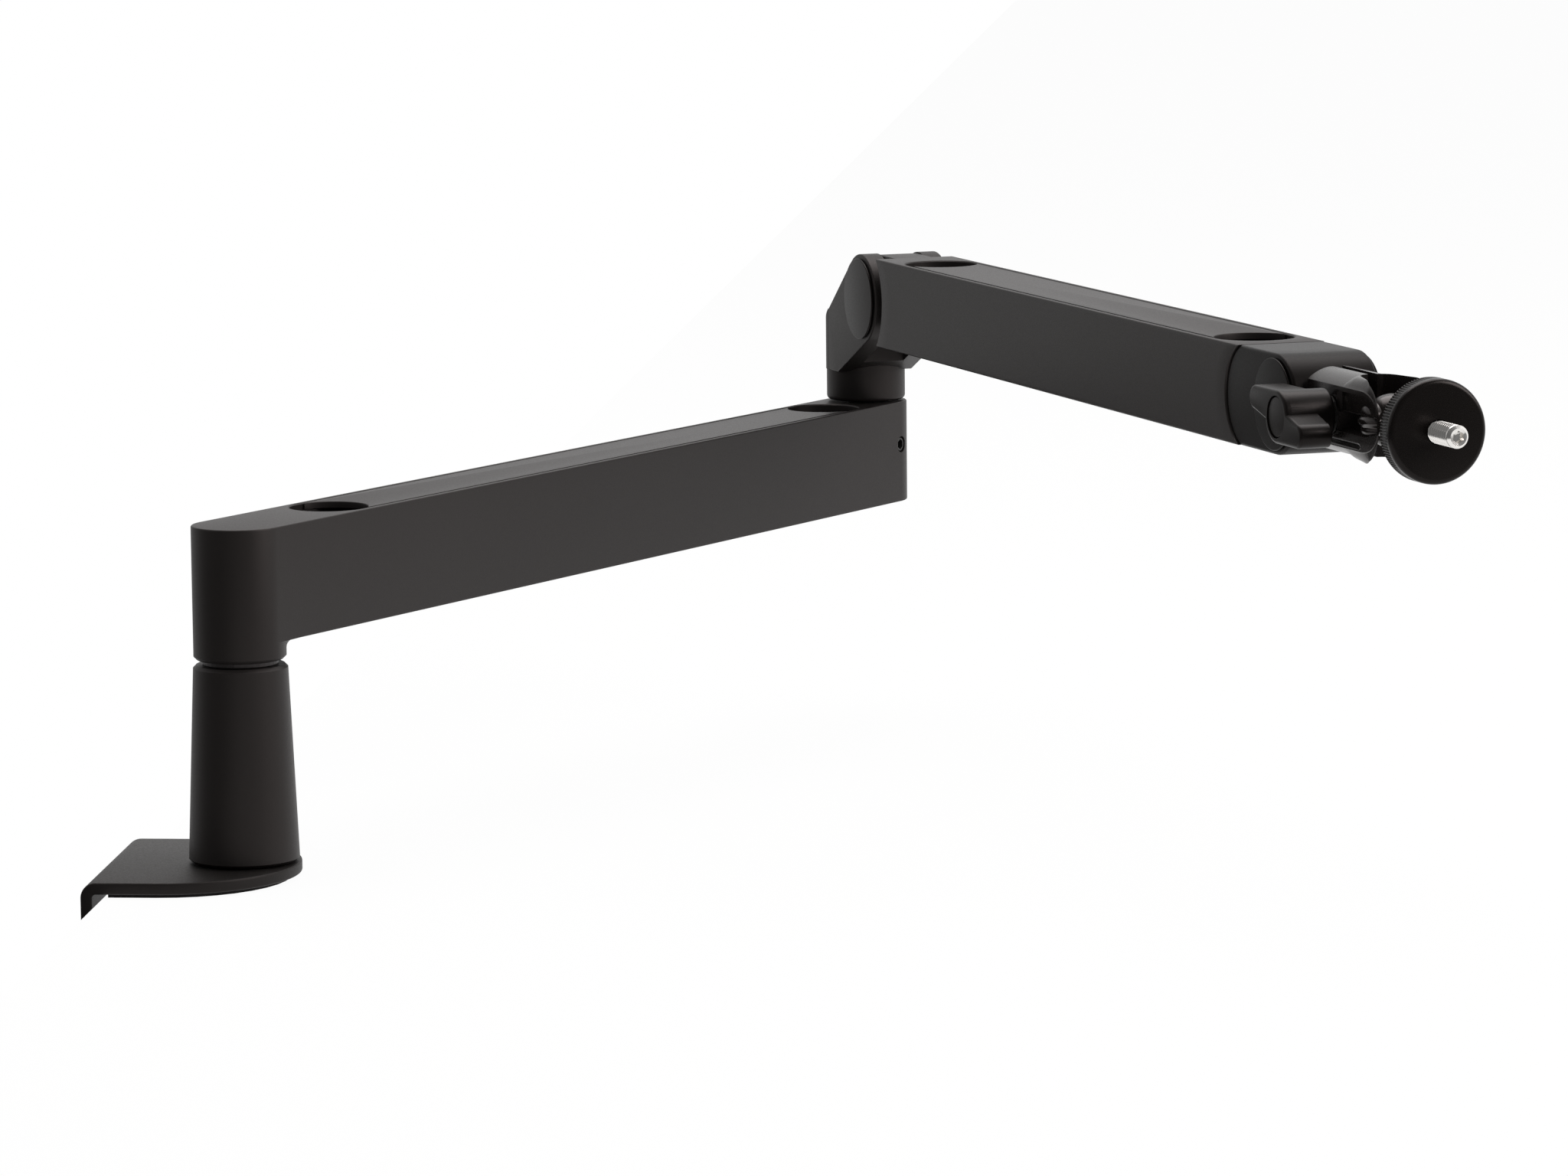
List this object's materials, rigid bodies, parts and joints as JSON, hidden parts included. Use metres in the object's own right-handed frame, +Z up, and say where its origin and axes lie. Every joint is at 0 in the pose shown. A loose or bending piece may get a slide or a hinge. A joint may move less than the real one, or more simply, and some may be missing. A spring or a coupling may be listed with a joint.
{
  "type": "boom microphone arm",
  "caption": "Low-profile boom arm for a microphone: desk clamp, tapered riser, two hinged arms with covered cable channels, and a ball head with a threaded stud.",
  "frame": {"origin": "on the desk top under the riser's axis, at the underside of the clamp's pad", "axes": "+Z up along the riser, +X from the desk's edge inwards"},
  "size_m": [0.3956, 0.4376, 0.2864],
  "materials": {
    "black_steel": "satin black powder coat on steel",
    "black_arm": "matte black anodised",
    "black_cast": "satin black paint on a casting",
    "black_plastic": "fine matte black moulding",
    "bearing_plastic": "plain bearing plastic",
    "dark_rubber": "matte dark rubber",
    "plain_steel": "plain zinc-plated steel",
    "bright_stud": "bright plated steel"
  },
  "bodies": {
    "clamp": {"clamp_bracket": "black_steel", "desk_pad": "dark_rubber", "clamp_nut": "plain_steel", "riser_column": "black_arm", "riser_screw_1": "plain_steel", "riser_screw_2": "plain_steel", "riser_screw_3": "plain_steel", "swivel_post": "plain_steel", "swivel_washer": "bearing_plastic"},
    "clamp_foot_body": {"clamp_foot": "black_steel", "clamp_foot_rubber": "dark_rubber"},
    "clamp_handle": {"clamp_screw": "plain_steel", "clamp_knob": "black_plastic"},
    "lower_arm": {"lower_arm_body": "black_arm", "lower_arm_cover": "black_arm", "swivel_bush": "bearing_plastic", "elbow_bush": "bearing_plastic", "elbow_set_screw": "plain_steel"},
    "elbow": {"elbow_bracket": "black_arm", "elbow_spigot": "plain_steel", "hinge_bolt": "plain_steel", "hinge_nut": "plain_steel", "hinge_cap_near": "black_plastic", "hinge_cap_far": "black_plastic", "friction_washer_near": "bearing_plastic", "friction_washer_far": "bearing_plastic"},
    "upper_arm": {"upper_arm_body": "black_arm", "upper_arm_cover": "black_arm", "elbow_tongue": "black_cast", "wrist_tongue": "black_cast", "elbow_plug_screw": "plain_steel", "wrist_plug_screw": "plain_steel"},
    "wrist": {"wrist_block": "black_plastic", "wrist_pin": "plain_steel", "wrist_bolt": "plain_steel", "wrist_nut": "plain_steel", "wrist_cap_near": "black_plastic", "wrist_cap_far": "black_plastic", "ball_clamp": "black_cast", "jaw_bolt": "plain_steel", "jaw_nut": "plain_steel", "wing_washer": "plain_steel"},
    "wing": {"wing_knob": "black_plastic", "wing_cap": "black_plastic"},
    "ball": {"ball_stem": "black_cast", "mic_stud": "bright_stud"},
    "lock_disc": {"mic_disc": "black_cast"}
  },
  "joints": [
    {"name": "base_swivel", "type": "hinge", "parent": "clamp", "child": "lower_arm", "pos_m": [0, 0, 0.0624], "axis": [0, 0, 1], "continuous": true},
    {"name": "elbow_swivel", "type": "hinge", "parent": "lower_arm", "child": "elbow", "pos_m": [0.15668, 0.32411, 0.1028], "axis": [0, 0, 1], "range_deg": [-25, 285]},
    {"name": "elbow_tilt", "type": "hinge", "parent": "elbow", "child": "upper_arm", "pos_m": [0.16972, 0.29511, 0.1398], "axis": [-0.9121, -0.4099, 0], "range_deg": [-15, 75]},
    {"name": "wrist_tilt", "type": "hinge", "parent": "upper_arm", "child": "wrist", "pos_m": [0.30106, 0.00287, 0.1398], "axis": [-0.9121, -0.4099, 0], "range_deg": [-40, 40]},
    {"name": "ball_tilt", "type": "hinge", "parent": "wrist", "child": "ball", "pos_m": [0.32934, -0.06007, 0.1398], "axis": [-0.9121, -0.4099, 0], "range_deg": [-60, 60]},
    {"name": "disc_spin", "type": "hinge", "parent": "ball", "child": "lock_disc", "pos_m": [0.34164, -0.08743, 0.1398], "axis": [0.4099, -0.9121, 0], "continuous": true},
    {"name": "wing_turn", "type": "hinge", "parent": "wrist", "child": "wing", "pos_m": [0.29865, -0.05106, 0.1398], "axis": [-0.9121, -0.4099, 0], "continuous": true},
    {"name": "clamp_slide", "type": "slide", "parent": "clamp", "child": "clamp_foot_body", "axis": [0, 0, 1], "range_m": [-0.0345, 0.02]},
    {"name": "clamp_screw_turn", "type": "hinge", "parent": "clamp_foot_body", "child": "clamp_handle", "pos_m": [-0.014, 0, -0.0696], "axis": [0, 0, 1], "continuous": true}
  ],
  "couplings": [
    {"joint": "clamp_screw_turn", "follows": "clamp_slide", "rad_per_m": 2094.4}
  ]
}
